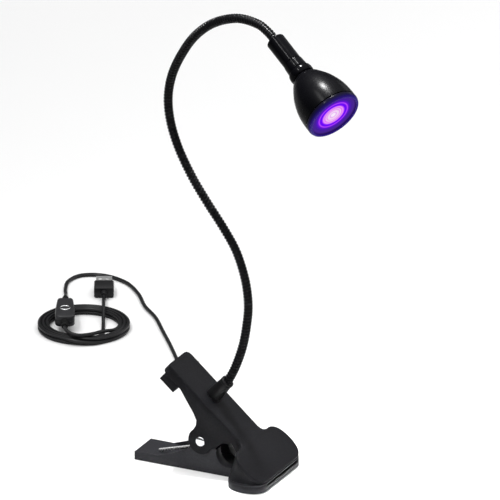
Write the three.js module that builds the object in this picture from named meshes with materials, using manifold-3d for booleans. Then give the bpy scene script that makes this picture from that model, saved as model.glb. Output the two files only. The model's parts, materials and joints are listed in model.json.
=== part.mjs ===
// A clip-on curing lamp: a spring clip stands on its lower arm, a gooseneck rises from the clip's
// upper arm, and a bell-shaped head at its end shines a violet light. Its lead runs over the floor
// to an inline switch, a coil and a plug.
//
// Millimetres, +Z up. X runs along the clip towards the jaw, Y along the clip's pivot, away from
// the side with the rivet's formed head. The origin is on the floor, straight below the pivot.

import * as THREE from "three";
import { mergeVertices } from "three/addons/utils/BufferGeometryUtils.js";
import Module from "manifold-3d";

const wasm = await Module();
wasm.setup();

// ---------------------------------------------------------------- driving dimensions

const PIVOT_Z = 25;
const PIN_R = 2;
const RUNNING_HOLE_R = 2.1;
const HEAD_OF_PIN_R = 3.75;
const GAP = 0.3;

const TIP_X = 58;
const JAW_Z = 6.9;
const JAW_GAP = 0.2;
const ARM_ANGLE = THREE.MathUtils.degToRad(41);

const LOWER = { end: -55, half: 13.7, wall: 1.8, top: 6.3, plate: 2.2, ear: 9.3 };
const UPPER = { end: -56, half: 15.9, wall: 1.8, top: 25, plate: 2.4, ear: 10.2, skirt: 17.6 };
const NOTCH = { x: 21.2, z: 17.2, r: 9.8 };
const NOTCH_LIP = { thick: 1.2, deep: 8 };
const LOBE = { tipHalf: 25, half: 36.6, widest: 14.5, back: 30.4, backHalf: 25.5, neck: 37 };
const PAD_INSET = 3.4;
const SKIRT_WALL = 2.2;

const WIRE_R = 1.25;
const COIL_R = 6;
const COIL_PITCH = 2.8;
const COIL_TURNS = 4;

const SOCKET_A = -18;
const BLOCK = { from: -53.4, to: -39.3, low: 11.1, exitA: -46, exitN: 14, screwA: -50.4 };
const LEAD_R = 1.3;
const RELIEF_LONG = 8.4;

const NECK_R = 3.5;
const NECK_SIDES = 10;
const BALL_R = 2.8;
const JOINT_AT = [52, 118, 184, 250, 316];

const HEAD_AT = new THREE.Vector3(70.7, -38, 356.4);
const HEAD_DIRECTION = new THREE.Vector3(0.791, -0.391, -0.47).normalize();

const CORD_R = 1.4;
const FLOOR_Z = CORD_R + 0.1;
const RING = { x: -200, y: 195, mean: 30, half: 4.4, height: 5.8 };
const INLINE = { across: -13.9, away: 5.7, length: 37.5, bottom: 6.2, height: 8.6 };
const PLUG = { across: 14.4, away: 59, axisZ: 4.1 };
const COIL_TURNED = THREE.MathUtils.degToRad(26);

// ---------------------------------------------------------------- small helpers

const point = (x, y, z) => new THREE.Vector3(x, y, z);
const polar = (cx, cy, r, degrees) => {
  const angle = THREE.MathUtils.degToRad(degrees);
  return [cx + r * Math.cos(angle), cy + r * Math.sin(angle)];
};
const arc = (cx, cy, r, from, to, count) =>
  Array.from({ length: count + 1 }, (_, i) => polar(cx, cy, r, from + ((to - from) * i) / count));
const shapeOf = (points) => new THREE.Shape(points.map(([x, y]) => new THREE.Vector2(x, y)));

// A closed geometry as a solid that can be cut and joined.
function solid(geometry) {
  const bare = geometry.clone();
  bare.deleteAttribute("normal");
  bare.deleteAttribute("uv");
  const merged = mergeVertices(bare, 1e-4);
  const source = merged.index.array;
  const kept = [];
  for (let i = 0; i < source.length; i += 3) {
    const [a, b, c] = [source[i], source[i + 1], source[i + 2]];
    if (a !== b && b !== c && c !== a) kept.push(a, b, c);
  }
  return new wasm.Manifold(
    new wasm.Mesh({
      numProp: 3,
      vertProperties: new Float32Array(merged.attributes.position.array),
      triVerts: new Uint32Array(kept),
    }),
  );
}

function geometryOf(made) {
  const mesh = made.getMesh();
  const geometry = new THREE.BufferGeometry();
  geometry.setAttribute("position", new THREE.BufferAttribute(mesh.vertProperties, 3));
  geometry.setIndex(new THREE.BufferAttribute(mesh.triVerts, 1));
  return geometry;
}

const joined = (...solids) => solids.reduce((sum, next) => sum.add(next));
const cutBy = (body, ...tools) => tools.reduce((left, tool) => left.subtract(tool), body);

// A plan outline (x, y) between two heights.
function slab(shape, low, high, curveSegments = 8) {
  const options = { depth: high - low, bevelEnabled: false, curveSegments };
  return new THREE.ExtrudeGeometry(shape, options).translate(0, 0, low);
}

// A side outline (x, z) between two places along Y.
function sideSlab(points, nearY, farY) {
  const options = { depth: farY - nearY, bevelEnabled: false };
  return new THREE.ExtrudeGeometry(shapeOf(points), options).rotateX(Math.PI / 2).translate(0, farY, 0);
}

function box(x0, x1, y0, y1, z0, z1) {
  const geometry = new THREE.BoxGeometry(x1 - x0, y1 - y0, z1 - z0);
  return geometry.translate((x0 + x1) / 2, (y0 + y1) / 2, (z0 + z1) / 2);
}

// A profile of [radius, height] pairs turned about Z; it runs up the outside and down the inside.
function turned(profile, segments = 24) {
  const points = profile.map(([r, h]) => new THREE.Vector2(r, h));
  return new THREE.LatheGeometry(points, segments).rotateX(Math.PI / 2);
}

const ring = (inner, outer, low, high, segments) =>
  turned([[inner, low], [outer, low], [outer, high], [inner, high], [inner, low]], segments);
const rod = (r, low, high, segments) => turned([[0, low], [r, low], [r, high], [0, high]], segments);
const rodAlongY = (r, near, far, segments) => rod(r, near, far, segments).rotateX(-Math.PI / 2);

function tube(points, r, steps, sides = 8) {
  const section = shapeOf(arc(0, 0, r, 0, 360 - 360 / sides, sides - 1));
  const path = new THREE.CatmullRomCurve3(points);
  return new THREE.ExtrudeGeometry(section, { steps, extrudePath: path, bevelEnabled: false });
}

// ---------------------------------------------------------------- colours

const finish = (color, roughness, metalness = 0) =>
  new THREE.MeshStandardMaterial({ color, roughness, metalness });
const FINISH = {
  clip: finish(0x1b1b1d, 0.55),
  rubber: finish(0x141414, 0.9),
  chrome: finish(0xd8dadc, 0.12, 1),
  spring: finish(0xb8babd, 0.28, 1),
  zinc: finish(0x9fa3a6, 0.4, 1),
  neck: finish(0x17171a, 0.4, 0.4),
  paint: finish(0x0b0b0d, 0.2),
  cord: finish(0x161617, 0.5),
  switchCase: finish(0x202022, 0.5),
  usb: finish(0xc9cbcd, 0.2, 1),
  tongue: finish(0xf2f2f2, 0.5),
  lens: finish(0xd9b8ff, 0.1),
  reflector: finish(0x9a86c9, 0.15, 1),
  board: finish(0xe8e8e4, 0.5),
  chip: finish(0xf4e58a, 0.4),
  aluminium: finish(0xb4b7ba, 0.35, 1),
  circuit: finish(0x1f5a34, 0.5),
};

const lamp = new THREE.Group();

function place(parent, name, geometry, material) {
  const mesh = new THREE.Mesh(geometry, material);
  mesh.name = name;
  parent.add(mesh);
  return mesh;
}

// ---------------------------------------------------------------- the clip's lower arm

// The rounded jaw, seen from above. u runs back from the tip; neckHalf joins it to an arm.
function jawOutline(inset, neckHalf, tailU, toX = (u) => TIP_X - u) {
  const squeeze = (LOBE.back - 2 * inset) / LOBE.back;
  const at = (u, v) => [toX(inset + u * squeeze), v];
  const shape = new THREE.Shape();
  const curve = (side, a, b, c) => shape.bezierCurveTo(
    ...at(a[0], side * (a[1] - inset)),
    ...at(b[0], side * (b[1] - inset)),
    ...at(c[0], side * (c[1] - inset)),
  );
  const { tipHalf, half, widest, back, backHalf, neck } = LOBE;
  shape.moveTo(...at(0, -(tipHalf - inset)));
  shape.lineTo(...at(0, tipHalf - inset));
  curve(1, [0.3, 33], [6, half], [widest, half]);
  curve(1, [24, half], [29.5, 32], [back, backHalf]);
  if (neckHalf) {
    shape.bezierCurveTo(...at(30, 20), ...at(31.5, neckHalf), ...at(neck, neckHalf));
    shape.lineTo(toX(tailU), neckHalf);
    shape.lineTo(toX(tailU), -neckHalf);
    shape.lineTo(...at(neck, -neckHalf));
    shape.bezierCurveTo(...at(31.5, -neckHalf), ...at(30, -20), ...at(back, -backHalf));
  } else {
    shape.lineTo(...at(back, -(backHalf - inset)));
  }
  curve(-1, [29.5, 32], [24, half], [widest, half]);
  curve(-1, [6, half], [0.3, 33], [0, tipHalf]);
  return shape;
}

// The same slab at both sides of the clip, from its outer face inwards.
function pairOfSlabs(outline, half, thick) {
  const near = solid(sideSlab(outline, -half, -half + thick));
  return joined(near, solid(sideSlab(outline, half - thick, half)));
}

// The collar that stiffens the edge of the throat.
function notchLip(x, z, from, to, count) {
  const rim = NOTCH.r + NOTCH_LIP.thick;
  return [...arc(x, z, NOTCH.r, from, to, count), ...arc(x, z, rim, to, from, count)];
}

function lowerWall() {
  const outline = [
    [LOWER.end, 0],
    [36, 0],
    [36, LOWER.top - 0.6],
    [27, LOWER.top],
    ...arc(NOTCH.x, NOTCH.z, NOTCH.r, 284, 165, 9),
    ...arc(0, PIVOT_Z, LOWER.ear, -20, 205, 12),
    [-11.5, 16.4],
    [-24, 10.4],
    [-36, LOWER.top],
    [LOWER.end, LOWER.top],
  ];
  const { half, wall } = LOWER;
  const lip = notchLip(NOTCH.x, NOTCH.z, 284, 165, 9);
  return joined(pairOfSlabs(outline, half, wall), pairOfSlabs(lip, half, NOTCH_LIP.deep));
}

function makeLowerArm() {
  const { end, half, wall, top, plate } = LOWER;
  const web = [2.6, 4.6];
  const jaw = solid(slab(jawOutline(0, 0), 0, JAW_Z - JAW_GAP));
  const padSeat = solid(slab(jawOutline(3, 0), web[1], JAW_Z + 1));
  const hollow = solid(slab(jawOutline(3, 0), -1, web[0]));
  const armPlate = solid(slab(jawOutline(0, half, TIP_X - end), top - plate, top));
  const endWall = solid(box(end, end + wall, -half, half, 0, top));
  const restRib = solid(box(-5, 5, -half + 1, half - 1, 0, top - 1));
  const middleRib = solid(box(-31, -29, -half + 1, half - 1, 0, top - 1));
  const body = joined(armPlate, lowerWall(), endWall, restRib, middleRib, jaw);
  const bore = solid(rodAlongY(RUNNING_HOLE_R, -half - 1, half + 1).translate(0, 0, PIVOT_Z));
  return geometryOf(cutBy(body, padSeat, hollow, bore));
}

place(lamp, "lower_arm", makeLowerArm(), FINISH.clip);
place(lamp, "lower_jaw_pad", slab(jawOutline(PAD_INSET, 0), 4.9, JAW_Z - 0.15), FINISH.rubber);

// ---------------------------------------------------------------- the clip's upper arm

// Its own frame: X along the plate towards the tip, Z out of the plate, origin on the pivot.
const upper = new THREE.Group();
upper.position.set(0, 0, PIVOT_Z);
upper.rotation.y = ARM_ANGLE;
lamp.add(upper);
upper.updateMatrixWorld(true);
const toUpper = upper.matrixWorld.clone().invert();
const TIP_A = (TIP_X - UPPER.top * Math.sin(ARM_ANGLE)) / Math.cos(ARM_ANGLE);
const inUpper = (x, z) => {
  const p = point(x, 0, z).applyMatrix4(toUpper);
  return [p.x, p.z];
};

function upperWall() {
  const { end, top, skirt, ear } = UPPER;
  const [notchA, notchN] = inUpper(NOTCH.x, NOTCH.z);
  const outline = [
    [end, top - 1],
    [end, skirt],
    [-37, skirt],
    [-28.1, 14.8],
    [-18.2, 11.9],
    [-13, 9.4],
    [-10.6, 5.8],
    ...arc(0, 0, ear, 168, 340, 14),
    [9.4, 2],
    ...arc(notchA, notchN, NOTCH.r, 194, 122, 6),
    [17, 18.2],
    [25.4, 15.8],
    [23.4, top - 1],
  ];
  const { half, wall } = UPPER;
  const lip = notchLip(notchA, notchN, 194, 122, 6);
  return joined(pairOfSlabs(outline, half, wall), pairOfSlabs(lip, half, NOTCH_LIP.deep));
}

// The skirt under the jaw runs square to the plane that halves the angle between the two jaws.
function jawSkirt(inset, wallInset) {
  const halfAngle = ARM_ANGLE / 2;
  const squash = Math.cos(halfAngle);
  const outer = slab(jawOutline(inset, 0, 0, (u) => -u * squash), -40, 60);
  const inner = slab(jawOutline(wallInset, 0, 0, (u) => -u * squash), -41, 61);
  const stand = (g) => solid(g.rotateY(halfAngle).translate(TIP_X, 0, JAW_Z));
  return { outer: stand(outer), inner: stand(inner) };
}

function makeUpperArm() {
  const { end, half, wall, top, plate } = UPPER;
  const skirt = jawSkirt(0, SKIRT_WALL);
  const big = 200;
  const underPlate = solid(
    box(-big, big, -big, big, -big, top - 1).applyMatrix4(upper.matrixWorld),
  );
  const aboveJaw = solid(box(-big, TIP_X, -big, big, JAW_Z + JAW_GAP, big));
  const jawFloor = solid(slab(jawOutline(0, 0), 8.6, 10.4)).intersect(skirt.outer);
  const window = solid(box(25, 40, -11.5, 11.5, 10.4, 18));
  const skirtWall = cutBy(skirt.outer.intersect(underPlate).intersect(aboveJaw), skirt.inner);
  const jawInRow = cutBy(joined(skirtWall, jawFloor.intersect(aboveJaw)), window);

  const toTip = (u) => TIP_A - u;
  const plateBody = solid(slab(jawOutline(0, half, TIP_A - end, toTip), top - plate, top));
  const endWall = solid(box(end, end + wall, -half, half, UPPER.skirt, top - 1));
  const boss = solid(rod(2.6, 16, top - 1).translate(BLOCK.screwA, 0, 0));
  const inArm = joined(plateBody, upperWall(), endWall, boss);
  const inRow = solid(geometryOf(inArm).applyMatrix4(upper.matrixWorld)).intersect(aboveJaw);
  const padSeat = solid(slab(jawOutline(PAD_INSET - GAP, 0), 0, JAW_Z + 1.6));
  const moulding = joined(inRow, jawInRow).subtract(padSeat);
  const whole = solid(geometryOf(moulding).applyMatrix4(toUpper));

  const pinHole = solid(rodAlongY(PIN_R + GAP, -half - 1, half + 1));
  const stemHole = solid(rod(3.7, 10, 40).translate(SOCKET_A, 0, 0));
  const screwHole = solid(rod(1.45, 10, 22).translate(BLOCK.screwA, 0, 0));
  return geometryOf(cutBy(whole, pinHole, stemHole, screwHole));
}

function makeUpperPad() {
  const low = JAW_Z + 0.15;
  return slab(jawOutline(PAD_INSET, 0), low, low + 1.2);
}

place(upper, "upper_arm", makeUpperArm(), FINISH.clip);
place(lamp, "upper_jaw_pad", makeUpperPad(), FINISH.rubber);

// ---------------------------------------------------------------- pivot rivet and spring

const outerFace = UPPER.half + GAP;
const dome = (r, low, high) => [[r, low], [r * 0.93, low + (high - low) * 0.5], [r * 0.6, high - 0.2]];

function makePin() {
  const profile = [[0, -17.2], [PIN_R, -17.2], [PIN_R, outerFace], ...dome(HEAD_OF_PIN_R, outerFace, 17.9)];
  return turned([...profile, [0, 17.9]]).rotateX(Math.PI / 2);
}

function makeRivetCap() {
  const hole = PIN_R + GAP;
  const profile = [[hole, outerFace], ...dome(HEAD_OF_PIN_R, outerFace, 17.9), [0, 17.9]];
  return turned([[0, 17.5], [hole, 17.5], ...profile].slice(1).concat([[0, 17.5], [hole, 17.5]]))
    .rotateX(-Math.PI / 2);
}

place(upper, "pivot_pin", makePin(), FINISH.chrome);
place(upper, "rivet_cap", makeRivetCap(), FINISH.chrome);

// The spring's legs press the two handles apart. Each leg leaves the coil along its tangent.
function springPath() {
  const lowEnd = new THREE.Vector2(-38, LOWER.top + WIRE_R + 0.2 - PIVOT_Z);
  const [c, s] = [Math.cos(ARM_ANGLE), Math.sin(ARM_ANGLE)];
  const underPlate = UPPER.top - UPPER.plate - WIRE_R - 0.25;
  const highEnd = new THREE.Vector2(-34 * c + underPlate * s, 34 * s + underPlate * c);
  const toCoil = Math.atan2(-lowEnd.y, -lowEnd.x) - Math.asin(COIL_R / lowEnd.length());
  const fromCoil = Math.atan2(highEnd.y, highEnd.x) + Math.asin(COIL_R / highEnd.length());
  const start = toCoil - Math.PI / 2;
  const stop = fromCoil - Math.PI / 2 + COIL_TURNS * 2 * Math.PI;
  const width = (COIL_PITCH * (stop - start)) / (2 * Math.PI);
  const onCoil = (angle) => point(
    COIL_R * Math.cos(angle),
    -width / 2 + (width * (angle - start)) / (stop - start),
    PIVOT_Z + COIL_R * Math.sin(angle),
  );
  const [first, last] = [onCoil(start), onCoil(stop)];
  const low = point(lowEnd.x, first.y, PIVOT_Z + lowEnd.y);
  const high = point(highEnd.x, last.y, PIVOT_Z + highEnd.y);
  const points = [0, 0.3, 0.6, 0.9].map((t) => low.clone().lerp(first, t));
  const count = Math.round((stop - start) / THREE.MathUtils.degToRad(20));
  for (let i = 0; i <= count; i += 1) points.push(onCoil(start + ((stop - start) * i) / count));
  return points.concat([0.1, 0.4, 0.7, 1].map((t) => last.clone().lerp(high, t)));
}

place(lamp, "torsion_spring", tube(springPath(), WIRE_R, 120), FINISH.spring);

// ---------------------------------------------------------------- lead clamp in the handle's end

const armLeadPath = [
  [-18, 0, 15.9], [-18.4, 0, 13.6], [-21, 0, 11.4], [-25.5, 0, 11.2], [-31, 0, 12.4],
  [-36, 0, 13.7], [-41, 0, BLOCK.exitN], [-44.6, 1.2, BLOCK.exitN], [-46, 4.6, BLOCK.exitN],
  [BLOCK.exitA, 9, BLOCK.exitN], [BLOCK.exitA, UPPER.half - 0.4, BLOCK.exitN],
].map((p) => point(...p));

function makeBlock() {
  const { from, to, low, screwA } = BLOCK;
  const { half, wall, skirt, top, plate } = UPPER;
  const foot = solid(box(from, to, -half, half, low, skirt - GAP));
  const inside = half - wall - GAP;
  const core = solid(box(from, to, -inside, inside, low + 1, top - plate - GAP));
  const channel = solid(tube(armLeadPath, LEAD_R + GAP, 30));
  const mouth = solid(rodAlongY(LEAD_R + GAP, 8, half + 1).translate(BLOCK.exitA, 0, BLOCK.exitN));
  const bossSeat = solid(rod(2.9, 15.6, 30).translate(screwA, 0, 0));
  const shank = solid(rod(1.5, 0, 30).translate(screwA, 0, 0));
  return geometryOf(cutBy(joined(foot, core), channel, mouth, bossSeat, shank));
}

function makeBlockScrew() {
  const low = BLOCK.low - GAP;
  const profile = [[0, low - 1.4], [1.8, low - 1.4], [2.5, low - 0.7], [2.5, low], [1.2, low], [1.2, 20]];
  return turned([...profile, [0, 20.6]], 16).translate(BLOCK.screwA, 0, 0);
}

function makeExitRelief() {
  const [near, far] = [UPPER.half + GAP, UPPER.half + RELIEF_LONG];
  const hole = LEAD_R + 0.35;
  const profile = [[hole, near], [3.4, near], [3.4, near + 1.4], [2.9, near + 2], [2.1, far], [hole, far]];
  const shape = turned([...profile, [hole, near]], 16).rotateX(-Math.PI / 2);
  return shape.translate(BLOCK.exitA, 0, BLOCK.exitN);
}

place(upper, "lead_clamp_block", makeBlock(), FINISH.clip);
place(upper, "clamp_screw", makeBlockScrew(), FINISH.zinc);
place(upper, "arm_lead", tube(armLeadPath, LEAD_R, 30), FINISH.cord);
place(upper, "lead_exit_relief", makeExitRelief(), FINISH.rubber);

// ---------------------------------------------------------------- neck socket

const socket = new THREE.Group();
socket.position.set(SOCKET_A, 0, UPPER.top);
upper.add(socket);

function makeSocket() {
  const outside = [[3.4, -8.2], [3.4, GAP], [6, GAP], [5.8, 4], [4.8, 15.2], [5, 15.6], [5, 17.6]];
  return turned([[1.6, -8.2], ...outside, [3.8, 18], [3.8, 6], [1.6, 6], [1.6, -8.2]]);
}

function makeNut() {
  const hexagon = slab(shapeOf(arc(0, 0, 5.6, 0, 300, 5)), -7, -4);
  return geometryOf(cutBy(solid(hexagon), solid(rod(3.6, -9, 0))));
}

place(socket, "neck_socket", makeSocket(), FINISH.paint);
place(socket, "socket_washer", ring(3.65, 6.2, -3.6, -2.7), FINISH.zinc);
place(socket, "socket_nut", makeNut(), FINISH.zinc);

// ---------------------------------------------------------------- gooseneck

const neckCurve = new THREE.CatmullRomCurve3([
  [8.2, 0, 62], [14.2, 0, 69], [20.5, 0, 81.5], [26.5, 0, 99.5], [30, 0, 120], [30.5, 0, 135],
  [27.8, 0, 152], [21.2, 0, 171], [11, 0, 187.5], [-2, 0, 205], [-14, 0, 222.5],
  [-24.5, 0, 242], [-31, -0.3, 261], [-33, -1.1, 280], [-29.5, -2.7, 299], [-20.5, -5.6, 318],
  [-7, -9.6, 337], [11, -15.2, 352], [33, -22.4, 361.6], [52, -29, 363], [63.1, -34, 360.2],
  [70.7, -38, 356.4], [80.2, -42.7, 350.8],
].map((p) => point(...p)));
const NECK_LENGTH = neckCurve.getLength();
const onNeck = (s) => neckCurve.getPointAt(THREE.MathUtils.clamp(s / NECK_LENGTH, 0, 1));

function neckLink(from, to, endsInBall) {
  const count = Math.max(4, Math.round((to - from) / 6));
  const points = Array.from({ length: count + 1 }, (_, i) => onNeck(from + ((to - from) * i) / count));
  const body = solid(tube(points, NECK_R, count, NECK_SIDES));
  if (!endsInBall) return geometryOf(body);
  const centre = onNeck(to + 1);
  const ball = new THREE.SphereGeometry(BALL_R, 12, 8).translate(centre.x, centre.y, centre.z);
  return geometryOf(joined(body, solid(ball)));
}

const cuts = [0, ...JOINT_AT, NECK_LENGTH];
for (let i = 1; i < cuts.length; i += 1) {
  const last = i === cuts.length - 1;
  const from = i === 1 ? 0 : cuts[i - 1] + BALL_R + 0.2;
  const to = last ? NECK_LENGTH : cuts[i] - 1;
  place(lamp, `neck_link_${i}`, neckLink(from, to, !last), FINISH.neck);
}

// ---------------------------------------------------------------- lamp head

// Its own frame: Z along the beam, origin where the sleeve takes the neck.
const head = new THREE.Group();
head.position.copy(HEAD_AT);
head.quaternion.setFromUnitVectors(point(0, 0, 1), HEAD_DIRECTION);
lamp.add(head);

const BELL = [
  [8.7, 38.3], [11, 40.9], [14, 45.6], [16.6, 50.5], [18.5, 55.5], [19.9, 60.4], [20.7, 65.3], [21, 73.6],
];
const BELL_WALL = 1.5;

function makeBell() {
  const inside = BELL.slice(1).reverse().map(([r, t]) => [r - BELL_WALL, t]);
  return turned([[2.6, 38.3], ...BELL, ...inside, [2.6, 40.9], [2.6, 38.3]], 40);
}

const sleeve = [[4, 0], [6.7, 0], [7, 0.5], [7, 23.2], [1.9, 23.2], [1.9, 14], [4, 14], [4, 0]];
const coupling = [[1.9, 23.5], [7.3, 23.5], [7.8, 30.8], [1.9, 30.8], [1.9, 23.5]];
const collar = [
  [2.6, 31.1], [8.1, 31.1], [8.8, 32.2], [9.2, 34.5], [9.1, 36.8], [8.4, 38], [2.6, 38], [2.6, 31.1],
];
const spreader = [[0, 48], [10, 48], [14, 54], [14, 60.3], [0, 60.3]];
const bezel = [
  [19.6, 73.9], [20.9, 73.9], [21.1, 75], [20.8, 77.2], [20, 78.4], [18.4, 78.4], [18.4, 77.2],
  [19.6, 77.2], [19.6, 73.9],
];
const reflector = [
  [4.2, 62.4], [5.2, 62.4], [11.4, 67.6], [16.6, 73.4], [19.2, 73.6], [19.2, 74.4], [16, 74.4],
  [10.6, 68.6], [4.2, 63.4], [4.2, 62.4],
];

place(head, "head_sleeve", turned(sleeve, 28), FINISH.paint);
place(head, "head_coupling", turned(coupling, 28), FINISH.paint);
place(head, "head_collar", turned(collar, 28), FINISH.paint);
place(head, "head_bell", makeBell(), FINISH.paint);
place(head, "head_bezel", turned(bezel, 40), FINISH.paint);
place(head, "lens", rod(19.3, 74.7, 76.9, 40), FINISH.lens);
place(head, "reflector", turned(reflector, 32), FINISH.reflector);
place(head, "led_board", rod(10, 60.6, 62.1, 24), FINISH.board);
place(head, "led_chip", box(-2.5, 2.5, -2.5, 2.5, 62.4, 64), FINISH.chip);
place(head, "heat_spreader", turned(spreader, 24), FINISH.aluminium);
place(head, "head_lead", rod(1.2, 13, 47.7, 8), FINISH.cord);

// ---------------------------------------------------------------- cord, switch and plug

// The coil's own frame: X across, Y away, turned with the coil on the floor.
const loop = new THREE.Group();
loop.position.set(RING.x, RING.y, 0);
loop.rotation.z = COIL_TURNED;
lamp.add(loop);
loop.updateMatrixWorld(true);
const inLoop = (x, y, z) => point(x, y, z).applyMatrix4(loop.matrixWorld);

upper.updateMatrixWorld(true);
const leadExit = point(BLOCK.exitA, UPPER.half + RELIEF_LONG + GAP, BLOCK.exitN);
const leadStart = leadExit.applyMatrix4(upper.matrixWorld);
const switchAxisZ = INLINE.bottom + INLINE.height / 2;

const cordLead = [
  leadStart,
  leadStart.clone().add(point(0, 5, -0.3)),
  ...[
    [-26.2, 33, 62.6], [-26.3, 34.6, 57], [-26, 35.8, 48], [-25.5, 37.8, 37], [-25.7, 41.4, 26],
    [-27.4, 46.8, 16], [-31, 54, 8.6], [-37, 63, 3.9], [-45.5, 74, FLOOR_Z + 0.4],
    [-56, 88, FLOOR_Z], [-68.5, 106, FLOOR_Z], [-82, 126, FLOOR_Z], [-95.5, 147, FLOOR_Z],
    [-110, 168, FLOOR_Z], [-126, 190, FLOOR_Z], [-143, 212, FLOOR_Z], [-160, 234, FLOOR_Z],
  ].map((p) => point(...p)),
  inLoop(45, 40, FLOOR_Z),
  inLoop(40, 64, FLOOR_Z),
  inLoop(31, 86, FLOOR_Z),
  inLoop(15, 100, FLOOR_Z),
  inLoop(-2, 101, FLOOR_Z),
  inLoop(-12, 90, FLOOR_Z),
  inLoop(INLINE.across - 0.5, 74, FLOOR_Z),
  inLoop(INLINE.across, 62, 1.8),
  inLoop(INLINE.across, 52, 4.2),
  inLoop(INLINE.across, 43, 8.2),
  inLoop(INLINE.across, 38, switchAxisZ - 0.3),
  inLoop(INLINE.across, 33.6, switchAxisZ),
];

const cordLink = [
  [INLINE.across, -22.9, switchAxisZ], [-13.2, -26.2, 10], [-11, -29.3, 9], [-7.6, -31.6, 8.1],
  [-3, -32.9, 7.6], [2.5, -33, 7.5],
].map((p) => point(...p));

const cordTail = [
  [3, -23.7, 1.5], [8, -22, 1.5], [12, -18.5, 1.5], [14.2, -13, 1.5], [14.4, -5, 1.5],
  [14.4, 3, 1.7], [14.4, 9, 3.2], [14.4, 14, 5.6], [14.4, 19, 7.5], [14.4, 26, 7.8],
  [14.4, 33, 7.6], [14.4, 38, 6.2], [14.4, 43, 4.8], [14.4, 48, 4.2], [14.4, 53.3, PLUG.axisZ],
].map((p) => point(...p));

function makeRing() {
  const { mean, half, height } = RING;
  const [inner, outer, soft] = [mean - half, mean + half, 1.2];
  const profile = [
    [inner, soft], [inner + soft, 0.05], [outer - soft, 0.05], [outer, soft],
    [outer, height - soft], [outer - soft, height], [inner + soft, height], [inner, height - soft],
  ];
  return turned([...profile, profile[0]], 44);
}

place(lamp, "cord_lead", tube(cordLead, CORD_R, 76), FINISH.cord);
place(loop, "cord_link", tube(cordLink, CORD_R, 8), FINISH.cord);
place(loop, "cord_coil", makeRing(), FINISH.cord);
place(loop, "cord_tail", tube(cordTail, CORD_R, 26), FINISH.cord);

// The inline switch: two shells, a board, a round button in a bright ring, and a relief at each end.
const inline = new THREE.Group();
inline.position.set(INLINE.across, INLINE.away, INLINE.bottom);
loop.add(inline);

function caseOutline(inset) {
  const end = INLINE.length / 2 - inset;
  const [top, wide] = [6 - inset, 7.3 - inset];
  const shape = new THREE.Shape();
  shape.moveTo(0, -end);
  shape.bezierCurveTo(4.6 - inset, -end, wide - 0.2, -end + 0.8, wide, -end + 5);
  shape.bezierCurveTo(wide + 0.2, -3, top + 0.5, 7, top, end - 3);
  shape.bezierCurveTo(top - 0.3, end - 0.7, top - 1.5, end, 3.6 - inset, end);
  shape.lineTo(-3.6 + inset, end);
  shape.bezierCurveTo(-top + 1.5, end, -top + 0.3, end - 0.7, -top, end - 3);
  shape.bezierCurveTo(-top - 0.5, 7, -wide - 0.2, -3, -wide, -end + 5);
  shape.bezierCurveTo(-wide + 0.2, -end + 0.8, -4.6 + inset, -end, 0, -end);
  return shape;
}

const { height: caseTop } = INLINE;
const seam = 4.2;
const BUTTON_Y = -1.5;
const leadDoor = solid(rodAlongY(1.7, -30, 30, 16).translate(0, 0, caseTop / 2));

function makeShell(low, high, cavityLow, cavityHigh, ...cuts) {
  const outside = solid(slab(caseOutline(0), low, high, 5));
  const cavity = solid(slab(caseOutline(1.4), cavityLow, cavityHigh, 5));
  return geometryOf(cutBy(outside, cavity, leadDoor, ...cuts));
}

const buttonHole = solid(rod(4.2, 5, 12, 28).translate(0, BUTTON_Y, 0));
const onButton = (geometry) => geometry.translate(0, BUTTON_Y, 0);
const buttonProfile = [[0, 5.8], [3.6, 5.8], [3.6, 6.5], [2.75, 6.5], [2.75, 9], [2.2, 9.3], [0, 9.4]];

function makeRelief(from, to, wide, narrow) {
  const hole = CORD_R + 0.25;
  const taper = (t) => THREE.MathUtils.lerp(wide, narrow, t);
  const rib = (t) => [[taper(t), from + (to - from) * t], [taper(t), from + (to - from) * (t + 0.16)],
    [taper(t) - 0.6, from + (to - from) * (t + 0.18)], [taper(t) - 0.6, from + (to - from) * (t + 0.24)]];
  const outside = [0, 0.26, 0.52].flatMap(rib).concat([[taper(0.78), from + (to - from) * 0.78], [narrow, to]]);
  return turned([[hole, from], ...outside, [hole, to], [hole, from]], 14);
}

const alongCase = (geometry, flip) =>
  geometry.rotateX(flip ? Math.PI / 2 : -Math.PI / 2).translate(0, 0, caseTop / 2);
const caseEnd = INLINE.length / 2;

place(inline, "switch_base", makeShell(0, seam, 1.4, seam + 1), FINISH.switchCase);
place(inline, "switch_cover", makeShell(seam + GAP, caseTop, seam, caseTop - 1.3, buttonHole), FINISH.switchCase);
place(inline, "button_ring", onButton(ring(3.1, 3.9, 7, caseTop + 0.3, 28)), FINISH.chrome);
place(inline, "switch_button", onButton(turned(buttonProfile, 24)), FINISH.switchCase);
place(inline, "switch_board", box(-4, 4, -11, 10, 1.7, 2.8), FINISH.circuit);
place(inline, "key_contact", onButton(box(-2, 2, -2, 2, 3.1, 4.9)), FINISH.zinc);
place(inline, "relief_lamp_side", alongCase(makeRelief(caseEnd + GAP, caseEnd + 8.8, 3.3, 2.4)), FINISH.rubber);
place(inline, "relief_plug_side", alongCase(makeRelief(caseEnd + GAP, caseEnd + 9.3, 3.3, 2.5), true), FINISH.rubber);

// The plug: a moulded grip, a folded metal shell, the contact tongue and a short relief.
const plug = new THREE.Group();
plug.position.set(PLUG.across, PLUG.away, PLUG.axisZ);
loop.add(plug);

const GRIP = { half: 7.35, length: 16.7, thick: 3.9 };
const SHELL = { half: 6, thick: 2.25, wall: 0.4, from: 9, to: 28.4 };

function gripShape() {
  const { half, thick } = GRIP;
  const soft = 1.4;
  const corner = (x, z, from) => arc(x, z, soft, from, from + 90, 3);
  const [x, z] = [half - soft, thick - soft];
  return [...corner(x, z, 0), ...corner(-x, z, 90), ...corner(-x, -z, 180), ...corner(x, -z, 270)];
}

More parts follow.
